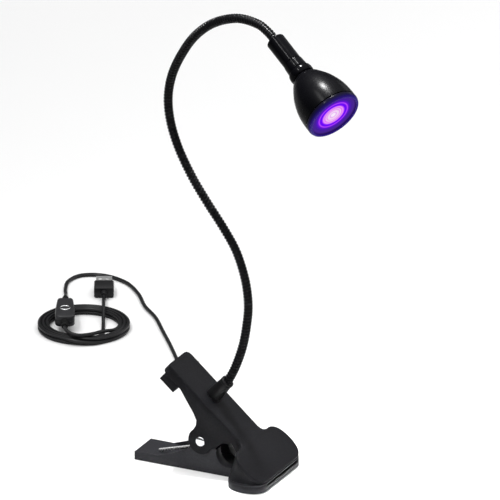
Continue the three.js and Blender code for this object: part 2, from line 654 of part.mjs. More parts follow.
function makeShellOfPlug() {
  const { half, thick, wall, from, to } = SHELL;
  const outside = solid(box(-half, half, from, to, -thick, thick));
  const inside = solid(box(-half + wall, half - wall, from - 1, to + 1, -thick + wall, thick - wall));
  const latch = (x) => solid(box(x - 1.15, x + 1.15, 21.6, 23.8, 0, 5));
  return geometryOf(cutBy(outside, inside, latch(-2.85), latch(2.85)));
}

function makeGrip() {
  const grip = solid(sideSlab(gripShape(), 0, GRIP.length));
  const seat = solid(box(-6.3, 6.3, 8.7, 30, -2.55, 2.55));
  const door = solid(rodAlongY(1.7, -1, 10, 16));
  return geometryOf(cutBy(grip, seat, door));
}

place(plug, "plug_grip", makeGrip(), FINISH.cord);
place(plug, "plug_shell", makeShellOfPlug(), FINISH.usb);
place(plug, "plug_tongue", box(-5.2, 5.2, 10, 27.6, -1.55, -0.1), FINISH.tongue);
const plugRelief = turned([[1.65, -5.4], [2.3, -5.4], [2.6, -GAP], [1.65, -GAP], [1.65, -5.4]], 14);
place(plug, "plug_relief", plugRelief.rotateX(-Math.PI / 2), FINISH.cord);

export default lamp;
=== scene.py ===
# %% [markdown]
# # A clip-on curing lamp
# A sprung clip stands on its lower arm. A gooseneck rises from its upper arm and carries a
# bell-shaped head, which shines violet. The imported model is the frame: it gives every place and
# every joint, and this script gives the surfaces. Lengths are written in millimetres, as a maker
# would say them, and one factor turns them into Blender's metres.

# %% The frame
import json
import math

import bmesh
import bpy
from mathutils import Matrix, Vector
from mathutils.geometry import interpolate_bezier


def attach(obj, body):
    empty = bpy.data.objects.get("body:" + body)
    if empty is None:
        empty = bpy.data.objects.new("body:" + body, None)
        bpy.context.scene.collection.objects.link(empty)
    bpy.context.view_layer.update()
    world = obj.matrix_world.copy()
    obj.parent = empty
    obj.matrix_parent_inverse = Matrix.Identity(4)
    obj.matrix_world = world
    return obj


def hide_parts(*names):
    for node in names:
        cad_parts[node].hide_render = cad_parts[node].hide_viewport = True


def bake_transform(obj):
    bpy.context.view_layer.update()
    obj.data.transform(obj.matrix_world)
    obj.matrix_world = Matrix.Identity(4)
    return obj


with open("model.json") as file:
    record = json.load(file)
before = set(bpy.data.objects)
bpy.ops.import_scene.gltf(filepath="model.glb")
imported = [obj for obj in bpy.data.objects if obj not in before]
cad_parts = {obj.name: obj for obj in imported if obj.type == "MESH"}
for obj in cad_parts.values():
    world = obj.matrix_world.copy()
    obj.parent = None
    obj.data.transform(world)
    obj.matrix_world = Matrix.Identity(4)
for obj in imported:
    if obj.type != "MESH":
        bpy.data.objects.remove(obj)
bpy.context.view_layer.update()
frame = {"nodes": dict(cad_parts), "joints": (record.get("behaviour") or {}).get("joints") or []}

MM = 0.001

# %% [markdown]
# ## Sizes that the pieces share
# The clip turns about a pin 25 mm above the floor, and its upper arm is tilted by 41 degrees when
# the jaws are shut. Each group of pieces has its own small coordinate system, because a plate is
# easiest to draw flat: a matrix then carries it to its place.

# %% Shared sizes and local frames
PIVOT = Vector((0, 0, 25))
ARM_TILT = math.radians(41)
JAW_TIP = 58
JAW_PLANE = 6.9
PLATE_TOP = 25
COIL_CENTRE = Vector((-200, 195, 0))
COIL_TURNED = math.radians(26)
HEAD_START = Vector((70.7, -38, 356.4))
BEAM = Vector((0.791, -0.391, -0.47)).normalized()

upper_frame = Matrix.Translation(PIVOT) @ Matrix.Rotation(ARM_TILT, 4, "Y")
coil_frame = Matrix.Translation(COIL_CENTRE) @ Matrix.Rotation(COIL_TURNED, 4, "Z")
head_frame = Matrix.Translation(HEAD_START) @ BEAM.to_track_quat("Z", "Y").to_matrix().to_4x4()
PLATE_TIP = (JAW_TIP - PLATE_TOP * math.sin(ARM_TILT)) / math.cos(ARM_TILT)
print("upper plate reaches", round(PLATE_TIP, 2), "mm from the pivot")

# %% [markdown]
# ## Camera, light and floor
# A long lens from far away keeps the clip's edges nearly parallel, as a product picture does. The
# room is dark at the sides and bright above, as under a wide cloth. A small lamp overhead puts one
# soft spot on the bell, and a narrow strip draws the thin line along the sleeve. A box in front
# picks out the clip's rims, and one behind lifts its tilted top, which mirrors light from the back.

# %% Camera
VIEW_AZIMUTH = math.radians(26)
VIEW_HEIGHT = math.radians(22)
VIEW_DISTANCE = 12
VIEW_WIDTH = 0.3623
AIM = Vector((9.8, 45.7, 153.9)) * MM

away = Vector((
    -math.sin(VIEW_AZIMUTH) * math.cos(VIEW_HEIGHT),
    math.cos(VIEW_AZIMUTH) * math.cos(VIEW_HEIGHT),
    -math.sin(VIEW_HEIGHT),
))
camera = bpy.data.objects.new("camera", bpy.data.cameras.new("camera"))
camera.data.lens = camera.data.sensor_width * VIEW_DISTANCE / VIEW_WIDTH
camera.data.clip_end = 60
camera.location = AIM - away * VIEW_DISTANCE
camera.rotation_mode = "QUATERNION"
camera.rotation_quaternion = away.to_track_quat("-Z", "Y")
bpy.context.scene.collection.objects.link(camera)
bpy.context.scene.camera = camera
print("lens, mm:", round(camera.data.lens))


# %% Lamps and world
def soft_box(name, place, long, narrow, watts, at=(0, 0, 0.05), along=(1, 0, 0), spread=180):
    light = bpy.data.lights.new(name, "AREA")
    light.shape = "RECTANGLE"
    light.size, light.size_y = long, narrow
    light.energy = watts
    light.spread = math.radians(spread)
    lamp = bpy.data.objects.new(name, light)
    lamp.location = place
    back = (Vector(place) - Vector(at)).normalized()
    side = (Vector(along) - back * back.dot(Vector(along))).normalized()
    lamp.rotation_mode = "QUATERNION"
    lamp.rotation_quaternion = Matrix((side, back.cross(side), back)).transposed().to_quaternion()
    bpy.context.scene.collection.objects.link(lamp)


SLEEVE_MIDDLE_AT, BELL_MIDDLE_AT = 16, 55
sleeve_middle = (HEAD_START + BEAM * SLEEVE_MIDDLE_AT) * MM
bell_middle = (HEAD_START + BEAM * BELL_MIDDLE_AT) * MM
soft_box("lamp_overhead", (-0.2, 0.2, 1.68), 0.26, 0.26, 1.7, at=bell_middle, spread=14)
soft_box("strip_on_sleeve", sleeve_middle + Vector((-0.36, -0.53, 0.98)), 0.6, 0.025, 1.2,
         at=sleeve_middle, along=BEAM, spread=60)
soft_box("box_front_right", (0.75, -0.85, 0.95), 0.25, 0.25, 0.6)
soft_box("box_behind", (0.5, 1.3, 0.75), 1.0, 0.6, 2.6)

world = bpy.data.worlds.new("studio")
world.use_nodes = True
room = world.node_tree.nodes["Background"]
room.inputs["Strength"].default_value = 1
sky = world.node_tree.nodes.new("ShaderNodeTexCoord")
height = world.node_tree.nodes.new("ShaderNodeSeparateXYZ")
cloth = world.node_tree.nodes.new("ShaderNodeMapRange")
CLOTH_EDGE, CLOTH_FULL = 0.5, 0.8
ROOM_SIDES, CLOTH_LIGHT = 0.1, 1.66
for socket, number in (("From Min", CLOTH_EDGE), ("From Max", CLOTH_FULL),
                       ("To Min", ROOM_SIDES), ("To Max", CLOTH_LIGHT)):
    cloth.inputs[socket].default_value = number
world.node_tree.links.new(sky.outputs["Generated"], height.inputs["Vector"])
world.node_tree.links.new(height.outputs["Z"], cloth.inputs["Value"])
world.node_tree.links.new(cloth.outputs["Result"], room.inputs["Color"])
bpy.context.scene.world = world
bpy.context.scene.view_settings.view_transform = "Standard"

# %% [markdown]
# ## Materials
# Every finish starts from what the real one is. Black parts are never one flat black: a moulded
# face, a painted turning and a rubber pad differ in how rough they are and in how fine their grain
# is. One function reads an sRGB hex colour, and one adds a node with its settings and links.


# %% Colour and node helpers
def linear(code):
    channels = [int(code[i : i + 2], 16) / 255 for i in (1, 3, 5)]
    return [c / 12.92 if c <= 0.04045 else ((c + 0.055) / 1.055) ** 2.4 for c in channels] + [1]


def add(tree, kind, settings=None, **inputs):
    made = tree.nodes.new("ShaderNode" + kind)
    for key, value in (settings or {}).items():
        setattr(made, key, value)
    for key, value in inputs.items():
        socket = made.inputs[key.replace("_", " ")]
        if isinstance(value, bpy.types.NodeSocket):
            tree.links.new(value, socket)
        else:
            socket.default_value = value
    return made


def empty_material(name):
    material = bpy.data.materials.new(name)
    material.use_nodes = True
    shader = material.node_tree.nodes["Principled BSDF"]
    return material, material.node_tree, shader


# %% [markdown]
# Most finishes share one recipe: a slow noise shifts the colour a little from place to place, and
# a fine noise, at the size of the real grain, varies the roughness and raises the surface.


# %% The shared recipe
def skin(name, dark, light, rough, grain_mm, depth_mm, patch_mm=9, metallic=0, **sockets):
    material, tree, shader = empty_material(name)
    place = add(tree, "TexCoord").outputs["Object"]
    patch = add(tree, "TexNoise", Vector=place, Scale=1 / (patch_mm * MM), Detail=3)
    grain = add(tree, "TexNoise", Vector=place, Scale=1 / (grain_mm * MM), Detail=2)
    colour = add(tree, "MixRGB", Fac=patch.outputs["Fac"], Color1=linear(dark), Color2=linear(light))
    spread = add(tree, "MapRange", Value=grain.outputs["Fac"], From_Min=0.3, From_Max=0.7,
                 To_Min=rough[0], To_Max=rough[1])
    bump = add(tree, "Bump", Height=grain.outputs["Fac"], Strength=0.6, Distance=depth_mm * MM)
    links = [(colour.outputs["Color"], "Base Color"), (spread.outputs["Result"], "Roughness")]
    for source, socket in links + [(bump.outputs["Normal"], "Normal")]:
        tree.links.new(source, shader.inputs[socket])
    shader.inputs["Metallic"].default_value = metallic
    for key, value in sockets.items():
        shader.inputs[key.replace("_", " ")].default_value = value
    return material


# %% Plastics, rubber and cord
# Black ABS from a spark-eroded mould: an even fine grain that turns highlights into a soft grey.
black_abs = skin("black_abs_fine_spark", "#060607", "#1a1a1d", (0.42, 0.58), 0.5, 0.07,
                 patch_mm=1.1, Specular_IOR_Level=0.06)
# The lower arm's plastic is set a shade greyer than the upper arm's: painted light, a lighter copy
# of the same black plastic for the arm that catches more light.
abs_painted_lighter = skin("black_abs_painted_lighter", "#1b1b1e", "#2e2e32", (0.4, 0.52), 0.5, 0.06,
                patch_mm=1.1, Specular_IOR_Level=0.16)
# The same plastic with a smoother satin face, on the inline switch.
satin_abs = skin("black_abs_satin", "#1c1c1e", "#29292c", (0.32, 0.42), 0.4, 0.012,
                 Specular_IOR_Level=0.3)
# Nitrile rubber: very matt, faintly dusty.
rubber = skin("nitrile_rubber_matt", "#0e0e0e", "#191919", (0.75, 0.92), 0.7, 0.04,
              Specular_IOR_Level=0.15)
# Soft PVC, extruded: smooth, with slow changes along the lead.
pvc = skin("black_pvc_extruded", "#0f0f11", "#19191b", (0.34, 0.46), 0.6, 0.008,
           Specular_IOR_Level=0.22)
# White contact carrier in the plug.
carrier = skin("white_pbt_moulded", "#e8e8e4", "#f4f4f1", (0.35, 0.45), 0.5, 0.006)

# %% Metals and paint
# Black paint on the turned bell: nearly all its light is one soft spot.
bell_paint = skin("semi_gloss_black_paint", "#020203", "#040405", (0.26, 0.29), 2.4, 0.0004,
                  Specular_IOR_Level=0.03)
# A smoother black paint on the sleeve and coupling, where a lamp draws a thin line.
sleeve_paint = skin("polished_black_paint", "#020203", "#040405", (0.13, 0.16), 2.4, 0.0004,
                    Specular_IOR_Level=0.03)
# The neck's socket has the same paint over a cast face: satin, with broad dull reflections.
socket_paint = skin("satin_black_cast_zinc", "#070708", "#101011", (0.38, 0.5), 1.2, 0.02,
                    Specular_IOR_Level=0.14)
# The gooseneck's wire under a thin black lacquer.
neck_lacquer = skin("black_lacquered_steel", "#050506", "#0b0b0d", (0.24, 0.32), 0.5, 0.006,
                    patch_mm=3, Specular_IOR_Level=0.06)
# Bright chrome over copper: almost a mirror, softly uneven from polishing.
chrome = skin("bright_chrome", "#e6e8ea", "#f2f3f4", (0.1, 0.18), 1.4, 0.003, metallic=1)
# Spring steel wire, nickel plated: drawn, so less of a mirror than chrome.
nickel = skin("nickel_plated_spring_wire", "#c6c7c8", "#dededd", (0.2, 0.32), 0.6, 0.003, metallic=1)
# Rolled steel under nickel, on the plug's shell: flat, pale and satin.
plug_steel = skin("nickel_plated_rolled_steel", "#dfe0e0", "#ededec", (0.3, 0.4), 1.1, 0.002, metallic=1)
# Zinc on small hardware: grey and slightly cloudy.
zinc = skin("zinc_plated_steel", "#8f9396", "#b3b6b8", (0.3, 0.48), 0.8, 0.01, patch_mm=2, metallic=1)
aluminium = skin("turned_aluminium", "#a9acae", "#c3c5c6", (0.28, 0.4), 0.7, 0.01, metallic=1)

# %% Electronics
white_mask = skin("white_solder_mask", "#dedfdc", "#efefec", (0.3, 0.4), 0.9, 0.004)
green_mask = skin("green_solder_mask", "#1d5232", "#28663f", (0.28, 0.38), 0.9, 0.004)
phosphor = skin("led_resin", "#e8d98a", "#f5ebab", (0.2, 0.3), 0.6, 0.004)
mirror_coat = skin("vacuum_metallised_cup", "#a79bd0", "#c1b7e2", (0.06, 0.12), 1.2, 0.004, metallic=1)

# %% [markdown]
# ## Small tools for building pieces
# Each piece is drawn in millimetres in a local frame with bmesh operators, carried to its place,
# and then scaled to metres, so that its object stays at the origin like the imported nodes.


# %% From a bmesh to a finished piece
def piece(name, bm, material, body=None, stands_for=(), place=Matrix(), sharp=32):
    bmesh.ops.remove_doubles(bm, verts=bm.verts, dist=1e-4)
    bmesh.ops.recalc_face_normals(bm, faces=bm.faces)
    bm.transform(Matrix.Scale(MM, 4) @ place)
    mesh = bpy.data.meshes.new(name)
    bm.to_mesh(mesh)
    bm.free()
    mesh.polygons.foreach_set("use_smooth", [True] * len(mesh.polygons))
    mesh.set_sharp_from_angle(angle=math.radians(sharp))
    mesh.materials.append(material)
    made = bpy.data.objects.new(name, mesh)
    bpy.context.scene.collection.objects.link(made)
    if body:
        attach(made, body)
    if stands_for:
        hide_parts(*stands_for)
    print(f"{name}: {len(mesh.polygons)} faces")
    return made


# %% An outline pulled up into a slab, its rims rounded
def slab(bm, outline, low, high, rim=(0, 0), steps=3):
    part = bmesh.new()
    floor_face = part.faces.new([part.verts.new((x, y, low)) for x, y in outline])
    grown = bmesh.ops.extrude_face_region(part, geom=[floor_face])["geom"]
    top = [v for v in grown if isinstance(v, bmesh.types.BMVert)]
    bmesh.ops.translate(part, verts=top, vec=(0, 0, high - low))
    bmesh.ops.recalc_face_normals(part, faces=part.faces)
    for level, width in zip((low, high), rim):
        if width:
            edges = [e for e in part.edges if all(abs(v.co.z - level) < 1e-5 for v in e.verts)]
            bmesh.ops.bevel(part, geom=edges, offset=width, offset_type="OFFSET", affect="EDGES",
                            segments=steps, profile=0.5, material=-1, clamp_overlap=True)
    join(bm, part)


def join(bm, part, turn=Matrix()):
    part.transform(turn)
    carrier_mesh = bpy.data.meshes.new("part")
    part.to_mesh(carrier_mesh)
    part.free()
    bm.from_mesh(carrier_mesh)
    bpy.data.meshes.remove(carrier_mesh)


# %% [markdown]
# A side wall is a slab drawn lying down and then stood up, so that its outline is read as X and Z.


# %% Side walls and boxes
STAND_UP = Matrix.Rotation(math.pi / 2, 4, "X")


def side_slab(bm, outline, near, far, rim=0.4):
    part = bmesh.new()
    slab(part, outline, -far, -near, (rim, rim), 2)
    join(bm, part, STAND_UP)


def block(bm, low, high, rim=0.4):
    (x0, y0, z0), (x1, y1, z1) = low, high
    slab(bm, [(x0, y0), (x1, y0), (x1, y1), (x0, y1)], z0, z1, (rim, rim), 2)


def arc(cx, cy, r, start, stop, count):
    turns = [math.radians(start + (stop - start) * i / count) for i in range(count + 1)]
    return [(cx + r * math.cos(t), cy + r * math.sin(t)) for t in turns]


# %% Turned pieces
def turned(profile, steps=64):
    bm = bmesh.new()
    points = [bm.verts.new((r, 0, h)) for r, h in profile]
    edges = [bm.edges.new(pair) for pair in zip(points, points[1:])]
    bmesh.ops.spin(bm, geom=points + edges, cent=(0, 0, 0), axis=(0, 0, 1), dvec=(0, 0, 0),
                   angle=math.tau, steps=steps, use_merge=True, use_duplicate=False)
    bmesh.ops.remove_doubles(bm, verts=bm.verts, dist=1e-4)
    return bm


def eased(profile, radius=0.5, steps=4):
    """The same profile with its inner corners rounded, and long straights held straight at both ends."""
    made = [Vector(profile[0])]
    for before, corner, after in zip(profile, profile[1:], profile[2:]):
        corner = Vector(corner)
        back, on = Vector(before) - corner, Vector(after) - corner
        reach = min(radius, back.length * 0.45, on.length * 0.45)
        a, b = corner + back.normalized() * reach, corner + on.normalized() * reach
        made += interpolate_bezier(a, a.lerp(corner, 0.6), b.lerp(corner, 0.6), b, steps)
    made.append(Vector(profile[-1]))
    held = []
    for a, b in zip(made, made[1:]):
        held.append(a)
        if (b - a).length > 2:
            held += [a + (b - a).normalized() * 0.25, b + (a - b).normalized() * 0.25]
    return [tuple(p)[:2] for p in held + [made[-1]]]


# %% [markdown]
# A lead, a spring and the gooseneck's wire are all round wires on a route. A smooth route runs
# through listed points, and a curve object with a round bevel gives the wire its thickness.


# %% Routes and wires
def smooth_route(points, spacing):
    points = [Vector(p) for p in points]
    ends = [points[0] * 2 - points[1], *points, points[-1] * 2 - points[-2]]
    dense = []
    for a, b, c, d in zip(ends, ends[1:], ends[2:], ends[3:]):
        dense += interpolate_bezier(b, b + (c - a) / 6, c - (d - b) / 6, c, 24)[:-1]
    dense.append(points[-1])
    return even(dense, spacing)


def route_length(points):
    return sum((b - a).length for a, b in zip(points, points[1:]))


def even(points, spacing):
    total = route_length(points)
    count = max(2, round(total / spacing))
    wanted, made, walked = total / count, [points[0]], 0
    for a, b in zip(points, points[1:]):
        step = (b - a).length
        while len(made) < count and walked + step >= wanted * len(made) - 1e-9:
            made.append(a.lerp(b, (wanted * len(made) - walked) / step))
        walked += step
    return made + [points[-1]]


def wire(points, radius, sides=12):
    curve = bpy.data.curves.new("wire", "CURVE")
    curve.dimensions = "3D"
    curve.bevel_depth = radius
    curve.bevel_resolution = sides // 4 - 1
    curve.use_fill_caps = True
    spline = curve.splines.new("POLY")
    spline.points.add(len(points) - 1)
    for knot, p in zip(spline.points, points):
        knot.co = (*p, 1)
    holder = bpy.data.objects.new("wire", curve)
    mesh = bpy.data.meshes.new_from_object(holder)
    bm = bmesh.new()
    bm.from_mesh(mesh)
    bpy.data.objects.remove(holder)
    bpy.data.curves.remove(curve)
    bpy.data.meshes.remove(mesh)
    return bm


# %% [markdown]
# ## The lead
# The lead is 2.8 mm soft PVC. It leaves the block under the handle, drops to the floor behind the
# clip, and runs to the inline switch. It then lies in a neat coil, from which its last stretch
# comes out to the plug. The first piece hangs from the upper arm and lies on the floor.

# %% Lead from the clip to the switch
LEAD_R = 1.4
SWITCH_ACROSS, SWITCH_AWAY = -13.9, 5.7
SWITCH_BOTTOM, SWITCH_HEIGHT, SWITCH_LONG = 6.2, 8.6, 37.5
SWITCH_AXIS = SWITCH_BOTTOM + SWITCH_HEIGHT / 2


def by_coil(across, away_by, up):
    return coil_frame @ Vector((across, away_by, up))


ON_FLOOR = 1.5
lead_exit = upper_frame @ Vector((-46, 24.6, 14))
lead_points = [lead_exit, lead_exit + Vector((0, 5, -0.3))] + [Vector(p) for p in (
    (-26.2, 33, 62.6), (-26.3, 34.6, 57), (-26, 35.8, 48), (-25.5, 37.8, 37), (-25.7, 41.4, 26),
    (-27.4, 46.8, 16), (-31, 54, 8.6), (-37, 63, 3.9), (-45.5, 74, 1.9), (-56, 88, 1.5),
    (-68.5, 106, 1.5), (-82, 126, 1.5), (-95.5, 147, 1.5), (-110, 168, 1.5), (-126, 190, 1.5),
    (-143, 212, 1.5), (-160, 234, 1.5),
)] + [by_coil(*p) for p in (
    (45, 40, ON_FLOOR), (40, 64, ON_FLOOR), (31, 86, ON_FLOOR), (15, 100, ON_FLOOR),
    (-2, 101, ON_FLOOR), (-12, 90, ON_FLOOR), (-14.4, 74, ON_FLOOR), (-13.9, 62, 1.8),
    (-13.9, 52, 4.2), (-13.9, 43, 8.2), (-13.9, 38, SWITCH_AXIS - 0.3),
    (-13.9, 33.6, SWITCH_AXIS),
)]
lead_route = smooth_route(lead_points, 1.6)
lead = piece("lead_to_switch", wire(lead_route, LEAD_R), pvc, stands_for=["cord_lead"])
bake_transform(lead)

# %% [markdown]
# The coil has two layers of three turns. Every turn keeps one radius for most of the way round and
# steps to its next place within a short zone at the front, which is how a machine-wound lead lies.
# The upper layer is wound outwards and the lower one back inwards.

# %% Lead through the coil to the plug
COLUMNS = (27.2, 30.05, 32.9)
LAYERS = (1.45, 4.4)
STEP_FROM, STEP_TO = 240, 300
slots = [(r, LAYERS[1]) for r in COLUMNS] + [(r, LAYERS[0]) for r in reversed(COLUMNS)]


def at_angle(radius, degrees, up):
    turn = math.radians(degrees)
    return Vector((radius * math.cos(turn), radius * math.sin(turn), up))


def settle(t):
    return t * t * (3 - 2 * t)


coil_points = []
for number, (radius, up) in enumerate(slots):
    start = -25 if number == 0 else STEP_TO - 360
    coil_points += [at_angle(radius, d, up) for d in range(start, STEP_FROM + 1, 15)]
    if number + 1 < len(slots):
        next_radius, next_up = slots[number + 1]
        outward = 1.5 if next_radius == radius else 0
        for part in (0.25, 0.5, 0.75):
            share = settle(part)
            bulge = outward * math.sin(math.pi * part)
            coil_points.append(at_angle(
                radius + (next_radius - radius) * share + bulge,
                STEP_FROM + (STEP_TO - STEP_FROM) * part,
                up + (next_up - up) * share,
            ))

link_points = [Vector(p) for p in (
    (SWITCH_ACROSS, -22.9, SWITCH_AXIS), (-13.2, -26.2, 10), (-11, -29.3, 9), (-7.6, -31.6, 8.1),
    (-3, -32.2, 7.5), (2.5, -30.8, 7.4), (8, -28, 7.3),
)] + [at_angle(27.6, -60, 7.2), at_angle(27.2, -47, 6.2), at_angle(27.2, -36, 5)]
PLUG_ACROSS, PLUG_AWAY, PLUG_AXIS = 14.4, 59, 4.1
tail_points = [at_angle(25.6, 260, 1.45), at_angle(24.2, 273, 1.5)] + [Vector(p) for p in (
    (7.6, -22, 1.5), (12, -18.5, 1.5), (14.2, -13, 1.5), (14.4, -5, 1.5), (14.4, 3, 1.7),
    (14.4, 9, 3.2), (14.4, 14, 5.6), (14.4, 19, 7.5), (14.4, 26, 7.8), (14.4, 33, 7.6),
    (14.4, 38, 6.2), (14.4, 43, 4.8), (14.4, 48, 4.2), (14.4, 53.3, PLUG_AXIS),
)]
flat_route = smooth_route(link_points + coil_points + tail_points, 1.6)
coil_route = [coil_frame @ p for p in flat_route]
coil_cord = piece("lead_coil_and_tail", wire(coil_route, LEAD_R), pvc, "lower_arm",
                  ["cord_link", "cord_coil", "cord_tail"])

# %% [markdown]
# ## The clip's outlines
# Both jaws share one outline, a wide shape with round ends, which narrows by a small fillet into
# the arm. It is measured back from the tip, so the same function draws the jaw of each arm, the
# rubber pads inside them, and the skirt between them.

# %% The jaw's outline
JAW = dict(tip_half=25, half=36.6, widest=14.5, back=30.4, back_half=25.5, neck=37)
CURVE_STEPS = 14


def bend(a, b, c, d):
    corners = [Vector((*p, 0)) for p in (a, b, c, d)]
    return [tuple(p)[:2] for p in interpolate_bezier(*corners, CURVE_STEPS)]


def jaw_side(inset, neck_half):
    """One side of the outline as (back from tip, half width), from the tip to the arm."""
    squeeze = (JAW["back"] - 2 * inset) / JAW["back"]
    half, widest, back, back_half = JAW["half"], JAW["widest"], JAW["back"], JAW["back_half"]
    side = bend((0, JAW["tip_half"]), (0.3, 33), (6, half), (widest, half))
    side += bend((widest, half), (24, half), (29.5, 32), (back, back_half))[1:]
    side = [(inset + u * squeeze, v - inset) for u, v in side]
    if neck_half:
        side += bend((back, back_half), (30, 20), (31.5, neck_half), (JAW["neck"], neck_half))[1:]
    return side


def jaw_outline(tip, inset=0, neck_half=0, tail=None, corner=1):
    side = jaw_side(inset, neck_half)
    if tail is not None:
        side += [(tail - corner, neck_half)]
        side += [(tail - corner + corner * math.sin(math.radians(a)),
                  neck_half - corner + corner * math.cos(math.radians(a))) for a in (30, 60, 90)]
    both = side + [(u, -v) for u, v in reversed(side)]
    return [(tip - u, v) for u, v in both]


# %% [markdown]
# ## The clip's lower arm
# It is one moulding: a flat handle with a skirt, two ears that hold the pin, and the jaw with a
# shallow seat for its pad. Its ribs and walls are slabs that run into each other, which in a
# moulding are one solid. The jaw's seat is made by insetting the top face and pressing it down.

# %% Lower arm
LOWER_HALF, LOWER_TOP, WALL = 13.7, 6.3, 1.8
FLUSH = 0.05
NOTCH = (21.2, 17.2, 9.8)
LIP_THICK, LIP_DEEP = 1.2, 8


def notch_lip(x, z, start, stop):
    """The collar that stiffens the throat's edge, seen from the side."""
    bore = NOTCH[2] - FLUSH
    return arc(x, z, bore, start, stop, 18) + arc(x, z, bore + LIP_THICK, stop, start, 18)


lower = bmesh.new()
jaw_part = bmesh.new()
slab(jaw_part, jaw_outline(JAW_TIP), 0, JAW_PLANE - 0.2, (0.5, 0.7), 4)
top_face = max(jaw_part.faces, key=lambda f: (round(f.calc_center_median().z, 3), f.calc_area()))
bmesh.ops.inset_region(jaw_part, faces=[top_face], thickness=1.9, use_even_offset=True)
bmesh.ops.translate(jaw_part, verts=top_face.verts, vec=(0, 0, -1.5))
join(lower, jaw_part)
slab(lower, jaw_outline(JAW_TIP, 0, LOWER_HALF - FLUSH, JAW_TIP + 55, 1.6), 3.4, LOWER_TOP, (0, 0.6))

wall_outline = [(-54.8, 0), (36, 0), (36, 5), (27, LOWER_TOP)]
wall_outline += arc(*NOTCH, 284, 165, 18)
wall_outline += arc(0, 25, 9.3, -20, 205, 26)
wall_outline += [(-11.5, 16.4), (-24, 10.4), (-36, LOWER_TOP), (-54.8, LOWER_TOP)]
for near in (-LOWER_HALF, LOWER_HALF - WALL):
    side_slab(lower, wall_outline, near, near + WALL)
lip = notch_lip(NOTCH[0], NOTCH[1], 284, 165)
for near in (-LOWER_HALF, LOWER_HALF - LIP_DEEP):
    side_slab(lower, lip, near + FLUSH, near + LIP_DEEP - FLUSH, 0.3)
block(lower, (-55, -12.9, 0), (-53.2, 12.9, LOWER_TOP - 0.2), 0.6)
block(lower, (-5, -12.7, 0), (5, 12.7, 4.6), 0.3)
block(lower, (-31, -12.7, 0), (-29, 12.7, 4.6), 0.3)
# The lower arm's lighter tone is painted light, not wear.
piece("clip_lower_arm", lower, abs_painted_lighter, "lower_arm", ["lower_arm"])

# %% [markdown]
# ## The clip's upper arm
# Its plate is drawn flat with the jaw's outline and a rounded rim. The jaw's skirt joins the
# outline on the plate to the same outline on the closing plane: the floor face is pulled up and
# each of its points is then moved to its partner on the plate.

# %% Upper arm
UPPER_HALF, UPPER_TAIL, SKIRT_EDGE = 15.9, -56, 17.6
TAIL_CORNER = 4.6
WAIST = 1.6

upper = bmesh.new()
slab(upper, jaw_outline(PLATE_TIP, 0, UPPER_HALF - FLUSH, PLATE_TIP - UPPER_TAIL, TAIL_CORNER),
     22.6, PLATE_TOP, (0.3, 0.9), 4)
notch = upper_frame.inverted() @ Vector((NOTCH[0], 0, NOTCH[1]))
wall_start = UPPER_TAIL + TAIL_CORNER - 0.4
wall_outline = [(wall_start, 24), (wall_start, SKIRT_EDGE), (-37, SKIRT_EDGE)]
wall_outline += [(-28.1, 14.8), (-18.2, 11.9), (-13, 9.4), (-10.6, 5.8)]
wall_outline += arc(0, 0, 10.2, 168, 340, 26) + [(9.4, 2)]
wall_outline += arc(notch.x, notch.z, NOTCH[2], 194, 122, 12) + [(17, 18.2), (25.4, 15.8), (23.4, 24.3)]
for near in (-UPPER_HALF, UPPER_HALF - WALL):
    side_slab(upper, wall_outline, near, near + WALL)
for near in (-UPPER_HALF, UPPER_HALF - LIP_DEEP):
    side_slab(upper, notch_lip(notch.x, notch.z, 194, 122), near + FLUSH, near + LIP_DEEP - FLUSH, 0.3)
end_reach = UPPER_HALF - TAIL_CORNER + 0.3
block(upper, (UPPER_TAIL, -end_reach, SKIRT_EDGE), (UPPER_TAIL + WALL, end_reach, 24))
for side in (-1, 1):
    corner = bmesh.new()
    centre = UPPER_TAIL + TAIL_CORNER
    slab(corner, arc(centre, 0, TAIL_CORNER - FLUSH, 180, 90, 8)
         + arc(centre, 0, TAIL_CORNER - WALL, 90, 180, 8), SKIRT_EDGE, 24, (0.3, 0), 2)
    corner.transform(Matrix.Translation((0, UPPER_HALF - TAIL_CORNER, 0)))
    join(upper, corner, Matrix.Scale(side, 4, (0, 1, 0)))
bmesh.ops.recalc_face_normals(upper, faces=upper.faces)

skirt = bmesh.new()
closing = jaw_outline(JAW_TIP)
SKIRT_FOOT, SKIRT_HEAD = JAW_PLANE + 0.2, PLATE_TOP - 1.2
slab(skirt, closing, SKIRT_FOOT, JAW_PLANE + 8)
partner = {(round(x, 3), round(y, 3)): (x, y) for x, y in closing}
for v in skirt.verts:
    if v.co.z > JAW_PLANE + 4:
        x, y = partner[(round(v.co.x, 3), round(v.co.y, 3))]
        v.co = upper_frame @ Vector((PLATE_TIP - (JAW_TIP - x), y, SKIRT_HEAD))
standing = [e for e in skirt.edges if abs(e.verts[0].co.z - e.verts[1].co.z) > 1]
waist = bmesh.ops.subdivide_edges(skirt, edges=standing, cuts=5, use_grid_fill=False)["geom_inner"]
for v in {v for v in waist if isinstance(v, bmesh.types.BMVert)}:
    head = (upper_frame @ Vector((PLATE_TIP - (JAW_TIP - v.co.x), 0, SKIRT_HEAD))).z
    level = min(max((v.co.z - SKIRT_FOOT) / max(head - SKIRT_FOOT, 1), 0), 1)
    v.co.y -= math.copysign(WAIST * math.sin(math.pi * level), v.co.y)
low_rim = [e for e in skirt.edges if all(v.co.z < JAW_PLANE + 0.3 for v in e.verts)]
bmesh.ops.bevel(skirt, geom=low_rim, offset=0.5, affect="EDGES", segments=3, profile=0.5, material=-1)
join(upper, skirt, upper_frame.inverted())
piece("clip_upper_arm", upper, black_abs, "upper_arm", ["upper_arm"], upper_frame)

# %% [markdown]
# ## Rubber pads
# Each jaw grips through a thin rubber pad with narrow ribs across it, set into the seat. The ribs
# are left out: each pad is drawn as a plain slab with rounded rims.


# %% Pads
def pad(name, low, high, node, body):
    bm = bmesh.new()
    slab(bm, jaw_outline(JAW_TIP, 3.4), low, high, (0.25, 0.25), 2)
    piece(name, bm, rubber, body, [node])


